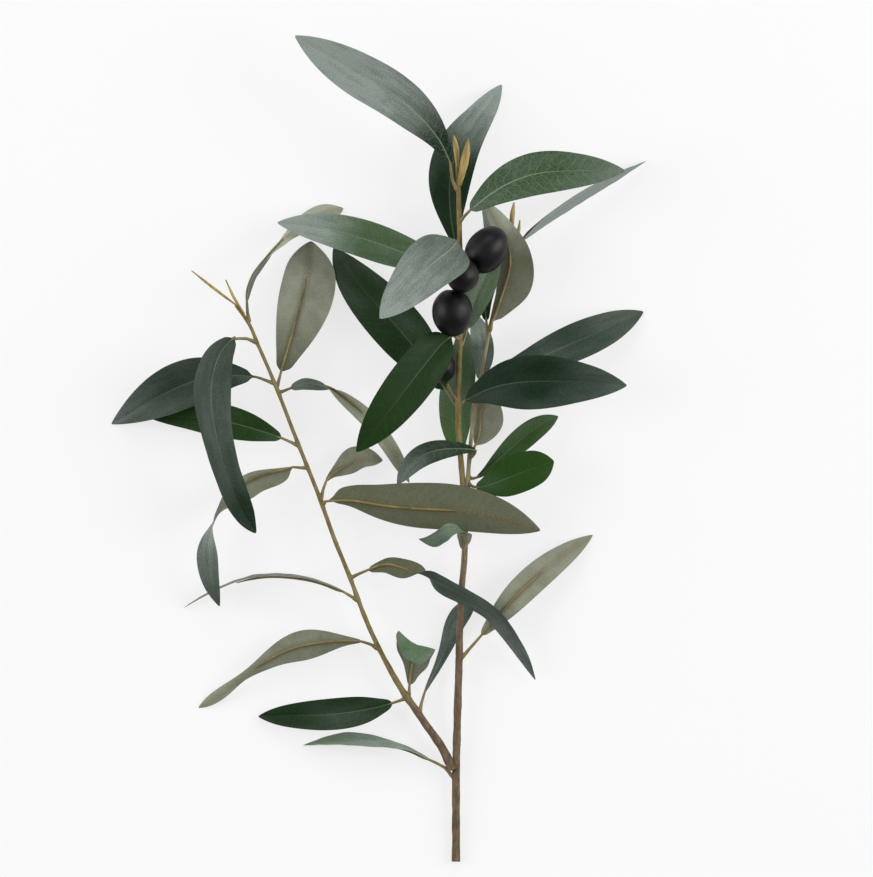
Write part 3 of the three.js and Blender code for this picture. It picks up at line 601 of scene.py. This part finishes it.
def bladeCage(name, look):
    # The blade alone in four-sided faces, its stalk's middle line, its length and its sideways direction.
    bm = mergedCopy(name)
    bm.edges.layers.float.new("crease_edge")
    bladeLayers(bm)
    foot, rings, tip = ringsOf(bm, leafBuild["sides"], flatEndKey)
    stalkRings, blade = rings[:leafBuild["stalkRings"]], rings[leafBuild["stalkRings"]:]
    stalk = [foot.co.copy()] + [middle([v.co for v in ring]) for ring in stalkRings[1:]]
    joinTriangles(bm, blade)
    bmesh.ops.delete(bm, geom=[foot] + [v for ring in stalkRings for v in ring], context="VERTS")
    bmesh.ops.contextual_create(bm, geom=blade[0])
    drawBack(blade, stalk[-1], look)
    length = measureBlade(bm, blade, tip)
    creaseBlade(bm, blade, tip)
    markSides(bm, blade, tip)
    return bm, stalk, length, (blade[0][0].co - blade[0][4].co).normalized()


def smoothed(bm, levels):
    # The cage under a subdivision surface.
    mesh = bpy.data.meshes.new("cage")
    bm.to_mesh(mesh)
    bm.free()
    holder = bpy.data.objects.new("cage", mesh)
    bpy.context.scene.collection.objects.link(holder)
    smoother = holder.modifiers.new("smoother", "SUBSURF")
    smoother.levels = smoother.render_levels = levels
    smooth = bpy.data.meshes.new_from_object(holder.evaluated_get(bpy.context.evaluated_depsgraph_get()))
    bpy.data.objects.remove(holder)
    bpy.data.meshes.remove(mesh)
    made = bmesh.new()
    made.from_mesh(smooth)
    bpy.data.meshes.remove(smooth)
    return made


def alongBlade(values, share):
    # One value from a few spread evenly from the blade's base to its tip.
    place = share * (len(values) - 1)
    index = min(int(place), len(values) - 2)
    return values[index] + (values[index + 1] - values[index]) * (place - index)


# How long and wide each kind of unevenness is, and how deep those are that no leaf changes.
# slope turns the puckers towards the tip, as the side veins run; cloud is how far the grey film and its
# painted sheen vary.
leafRelief = dict(swellLong=26 * mm, swellWide=13 * mm, pucker=0.16 * mm, puckerLong=5.5 * mm,
                  puckerWide=16 * mm, slope=0.8, frillLong=9 * mm, groove=0.14 * mm, grooveHalf=1.3 * mm,
                  endFade=8 * mm, cloud=0.13, cloudLong=30 * mm, cloudWide=10 * mm)
# The base's half width is read within near of the foot, and the base is rounded over this share of it.
leafBase = dict(near=1.5 * mm, share=1.6, longest=8 * mm, leastWidth=0.3)
# The half width is read in bands along the blade, and never counts as less than leastHalf.
leafBands = dict(count=40, leastHalf=1.0 * mm)


def bandAt(share, across):
    return round(share * leafBands["count"]), across > 0


def halfWidths(bm, length):
    # The blade's half width in each band along it, for each of its two sides.
    along, across = bladeLayers(bm)[:2]
    halves = {}
    for v in bm.verts:
        band = bandAt(v[along] / length, v[across])
        halves[band] = max(halves.get(band, leafBands["leastHalf"]), abs(v[across]))
    return halves


def rippleBlade(bm, look, shift, length):
    along, across, under, upward = bladeLayers(bm)
    relief = leafRelief
    halves = halfWidths(bm, length)
    for v in bm.verts:
        a, c = v[along], v[across]
        edge = abs(c) / halves[bandAt(a / length, c)]
        swell = noise.noise(Vector((a / relief["swellLong"], c / relief["swellWide"], 0)) + shift)
        slanted = (a - relief["slope"] * abs(c)) / relief["puckerLong"]
        pucker = noise.noise(Vector((slanted, c / relief["puckerWide"], 4)) + shift) * relief["pucker"]
        frill = noise.noise(Vector((a / relief["frillLong"], math.copysign(3, c), 8)) + shift)
        uneven = swell * look["ripple"] * mm + pucker * edge + frill * look["frill"] * mm * edge ** 3
        groove = relief["groove"] * max(0.0, 1 - abs(c) / relief["grooveHalf"]) * (1 - v[under])
        fade = min(1.0, a / relief["endFade"], (length - a) / relief["endFade"])
        v.co += v[upward].normalized() * (fade * uneven - groove)


def roundBase(bm, sideways):
    along, across = bladeLayers(bm)[:2]
    baseHalf = max(abs(v[across]) for v in bm.verts if v[along] < leafBase["near"])
    rounding = min(leafBase["longest"], baseHalf * leafBase["share"])
    for v in bm.verts:
        if v[along] < rounding:
            width = math.sqrt(1 - (1 - v[along] / rounding) ** 2)
            v.co -= sideways * v[across] * (1 - max(width, leafBase["leastWidth"]))


def toneBlade(bm, look, shift, length):
    # The leaf's tones, with painted sheen, light and shade among them, each point's share of the way to the
    # tip, and the map in centimetres.
    tone = bm.verts.layers.float_color.new("leafTone")
    leafShare = bm.verts.layers.float.new("leafShare")
    leafMap = bm.loops.layers.uv.new("leafMap")
    along, across = bladeLayers(bm)[:2]
    for v in bm.verts:
        a, c = v[along], v[across]
        cloud = noise.noise(Vector((a / leafRelief["cloudLong"], c / leafRelief["cloudWide"], 12)) + shift)
        bloomAndSheen = max(0.0, alongBlade(look["bloomAndSheen"], a / length) + leafRelief["cloud"] * cloud)
        v[tone] = (bloomAndSheen, look["lift"], alongBlade(look["pale"], a / length), look["veins"])
        v[leafShare] = a / length
    for face in bm.faces:
        for loop in face.loops:
            loop[leafMap].uv = (loop.vert[along] / (10 * mm), loop.vert[across] / (10 * mm))


# The tan cane is stalk and rib in one. Over settle, its middle comes to stand off the blade's underside.
# Towards its end it thins, over ending, and point holds the last steps ahead and their sizes.
caneBuild = dict(sides=10, perSpan=2, every=3, footDepth=1.5 * mm, footRadius=1.05 * mm,
                 stalkRadius=0.8 * mm, ribRadius=0.64 * mm, standOff=0.62 * mm, settle=6 * mm,
                 thinning=0.25, ending=14 * mm, endShare=0.45, point=((0.35 * mm, 0.8), (0.3 * mm, 0.45)))


def bladeSpine(bm):
    # The middle line of the underside, from the base on.
    along, across, under, upward = bladeLayers(bm)
    spine = [(v[along], v.co.copy(), v[upward].copy()) for v in bm.verts
             if v[under] > 0.9 and abs(v[across]) < 1e-7]
    return sorted(spine, key=lambda row: row[0])


def makeCane(spine, stalk, length, reach):
    shown = [row for row in spine if row[0] < reach * length][::caneBuild["every"]]
    inward = (stalk[0] - stalk[1]).normalized() * caneBuild["footDepth"]
    path = [stalk[0] + inward] + stalk[:-1]
    radii = [caneBuild["footRadius"]] * 2 + [caneBuild["stalkRadius"]] * (len(stalk) - 2)
    for a, point, up in shown:
        settle = min(1.0, a / caneBuild["settle"])
        ending = min(1.0, caneBuild["endShare"] + (shown[-1][0] - a) / caneBuild["ending"])
        path.append(point - up * caneBuild["standOff"] * settle * (0.5 + ending / 2))
        radii.append(caneBuild["ribRadius"] * (1 - caneBuild["thinning"] * a / length) * ending)
    ahead = (path[-1] - path[-2]).normalized()
    for step, size in caneBuild["point"]:
        path.append(path[-1] + ahead * step)
        radii.append(radii[-1] * size)
    cane = tube(path, radii, caneBuild["sides"], caneBuild["perSpan"])
    for face in cane.faces:
        face.material_index = 2
    return cane


def joinInto(bm, other):
    mesh = bpy.data.meshes.new("joined")
    other.to_mesh(mesh)
    other.free()
    bm.from_mesh(mesh)
    bpy.data.meshes.remove(mesh)


def addLeaf(name, seed):
    look = {**leafHabit, **leafLooks[name]}
    cage, stalk, length, sideways = bladeCage(name, look)
    bm = smoothed(cage, leafBuild["levels"])
    cane = makeCane(bladeSpine(bm), stalk, length, look["cane"])
    shift = Vector((seed * 7.3, seed * 3.1, 0))
    rippleBlade(bm, look, shift, length)
    roundBase(bm, sideways)
    toneBlade(bm, look, shift, length)
    joinInto(bm, cane)
    finishPiece(bm, name + "_blade", [leafUpper, leafUnder, ribCane], "leaf", name)
    return stalk[0]


feet = [addLeaf(name, seed) for seed, name in enumerate(sorted(leafLooks))]
print("leaves made", len(feet))


# The tape is lumpier and more fibrous than the bare stem, which has the shares bareLump and bareFuzz.
# A knuckle swells the bark round each leaf's foot.
stemBuild = dict(sides=8, round=20, perSpan=8, lump=0.22 * mm, lumpScale=140, bareLump=0.25,
                 fuzz=0.09 * mm, fuzzScale=420, bareFuzz=0.3, tapeEnd=mainTape["tapeEnd"], tapeFade=0.03,
                 knuckle=0.45 * mm, knuckleReach=4.5 * mm, rootDepth=1.6 * mm, rootFlare=1.5)


def middleLine(rings):
    # The rings' centres and their radii.
    centres = [middle([v.co for v in ring]) for ring in rings]
    return centres, [(ring[0].co - centre).length for ring, centre in zip(rings, centres)]


def addStem(name, material, slotName, rooted=True):
    bm = mergedCopy(name)
    _, rings, _ = ringsOf(bm, stemBuild["sides"], lowEndKey)
    centres, radii = middleLine(rings)
    bm.free()
    if rooted:
        centres.insert(0, centres[0] + (centres[0] - centres[1]).normalized() * stemBuild["rootDepth"])
        radii.insert(0, radii[0] * stemBuild["rootFlare"])
        radii[1] *= (1 + stemBuild["rootFlare"]) / 2
    bm = tube(centres, radii, stemBuild["round"], stemBuild["perSpan"])
    bm.normal_update()
    for v in bm.verts:
        taped = min(1.0, max(0.0, (stemBuild["tapeEnd"] - v.co.y) / stemBuild["tapeFade"] + 1.0))
        lump = noise.noise(v.co * stemBuild["lumpScale"]) * stemBuild["lump"]
        fuzz = noise.noise(v.co * stemBuild["fuzzScale"]) * stemBuild["fuzz"]
        near = min((v.co - point).length for point in feet)
        knuckle = max(0.0, 1 - near / stemBuild["knuckleReach"]) ** 2 * stemBuild["knuckle"]
        lump *= stemBuild["bareLump"] + taped
        fuzz *= stemBuild["bareFuzz"] + taped
        v.co += v.normal * (lump + fuzz + knuckle)
    finishPiece(bm, name + "_bark", [material], slotName, name)


addStem("main_stem", mainBark, "bark", rooted=False)
addStem("left_branch", branchBark, "bark")
addStem("right_shoot", shoot, "shoot")
fruits = range(1, 5)
for number in fruits:
    addStem("fruit_stalk_%d" % number, shoot, "shoot")
print("stems made")


budBuild = dict(sides=8, round=14, perSpan=5, rootDepth=1.0 * mm, tipRadius=0.3 * mm,
                fibre=0.12 * mm, fibreScale=300)


def addBud(name):
    bm = mergedCopy(name)
    _, rings, tip = ringsOf(bm, budBuild["sides"], flatEndKey)
    centres, radii = middleLine(rings)
    root = centres[0] + (centres[0] - centres[1]).normalized() * budBuild["rootDepth"]
    path = [root] + centres + [tip.co.copy()]
    bm.free()
    radii = [radii[0]] + radii + [budBuild["tipRadius"]]
    bm = tube(path, radii, budBuild["round"], budBuild["perSpan"])
    bm.normal_update()
    for v in bm.verts:
        v.co += v.normal * noise.noise(v.co * budBuild["fibreScale"]) * budBuild["fibre"]
    finishPiece(bm, name + "_scale", [budGold], "shoot", name)


buds = range(1, 7)
for number in buds:
    addBud("tip_bud_%d" % number)
print("buds made")


# swell makes the stalk's end fuller, and dent is how uneven the skin is, both as shares of the radius.
oliveBuild = dict(sides=16, around=56, along=36, dimple=0.5 * mm, dimpleReach=0.3, swell=0.05,
                  dent=0.012, dentScale=2.2)


def addOlive(name):
    bm = mergedCopy(name)
    poles = [v.co.copy() for v in bm.verts if len(v.link_edges) == oliveBuild["sides"]]
    centre = (poles[0] + poles[1]) / 2
    stalk = min(poles, key=lambda p: min((v - p).length for v in stalkMiddles))
    axis = stalk - centre
    half = axis.length
    lengthwise = axis.normalized()
    wide = max((v.co - centre - lengthwise * (v.co - centre).dot(lengthwise)).length for v in bm.verts)
    bm.free()
    bm = bmesh.new()
    around, along = oliveBuild["around"], oliveBuild["along"]
    bmesh.ops.create_uvsphere(bm, u_segments=around, v_segments=along, radius=1.0)
    turn = Vector((0, 0, 1)).rotation_difference(axis)
    widest = 1 + oliveBuild["swell"] ** 2
    for v in bm.verts:
        level = v.co.z
        out = Vector((v.co.x, v.co.y, 0))
        fullness = (1 + oliveBuild["swell"] * level) / widest
        dent = noise.noise(v.co * oliveBuild["dentScale"] + centre * 90) * oliveBuild["dent"]
        away = out.length / oliveBuild["dimpleReach"]
        dimple = oliveBuild["dimple"] * max(0.0, 1 - away ** 2) if level > 0 else 0.0
        v.co = centre + turn @ (out * wide * (fullness + dent) + Vector((0, 0, level * half - dimple)))
    bm.normal_update()
    finishPiece(bm, name + "_skin", [oliveSkin], "olive", name)


# An olive's dimple is at the end that lies nearer to a fruit stalk.
stalkMiddles = []
for number in fruits:
    low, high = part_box("fruit_stalk_%d" % number)
    stalkMiddles.append((Vector(low) + Vector(high)) / 2)
for number in fruits:
    addOlive("olive_%d" % number)
print("olives made")


studio = dict(floorSize=14.0, floorGap=0.4 * mm, paper=(0.22, 0.22, 0.22), paperGlow=0.70, world=0.32)
lights = dict(
    rightLight=dict(place=(1.9, 0.3, 1.15), size=(1.3, 2.1), power=43.0),
    leftLight=dict(place=(-1.9, 0.3, 1.15), size=(1.3, 2.1), power=36.0),
    topLight=dict(place=(0.0, 2.0, 1.6), size=(2.0, 1.0), power=17.0),
    stripLight=dict(place=(0.15, 0.1, 2.6), size=(0.45, 2.0), power=3.0))


def makeFloorPaper():
    made, _, shader = startMaterial("floorPaper", 0.9, Specular_IOR_Level=0.1)
    shader.inputs["Base Color"].default_value = (*studio["paper"], 1.0)
    shader.inputs["Emission Color"].default_value = (1.0, 1.0, 1.0, 1.0)
    shader.inputs["Emission Strength"].default_value = studio["paperGlow"]
    return made


def addLight(name, place, size, power):
    data = bpy.data.lights.new(name, "AREA")
    data.shape = "RECTANGLE"
    data.size, data.size_y = size
    data.energy = power
    made = bpy.data.objects.new(name, data)
    made.location = place
    made.rotation_euler = (Vector((0, 0, 0)) - Vector(place)).to_track_quat("-Z", "Y").to_euler()
    made.visible_camera = False
    bpy.context.scene.collection.objects.link(made)


def addStudio():
    bm = bmesh.new()
    bmesh.ops.create_grid(bm, x_segments=1, y_segments=1, size=studio["floorSize"] / 2)
    bmesh.ops.translate(bm, verts=bm.verts, vec=(0, 0, cadLow.z - studio["floorGap"]))
    mesh = bpy.data.meshes.new("floor")
    bm.to_mesh(mesh)
    bm.free()
    mesh.materials.append(makeFloorPaper())
    floor = bpy.data.objects.new("floor", mesh)
    bpy.context.scene.collection.objects.link(floor)
    world = bpy.data.worlds.new("studio")
    world.use_nodes = True
    world.node_tree.nodes["Background"].inputs[0].default_value = (1.0, 1.0, 1.0, 1.0)
    world.node_tree.nodes["Background"].inputs[1].default_value = studio["world"]
    bpy.context.scene.world = world
    for name, light in lights.items():
        addLight(name, **light)
    bpy.context.scene.view_settings.view_transform = "Standard"


addStudio()
print("studio made")
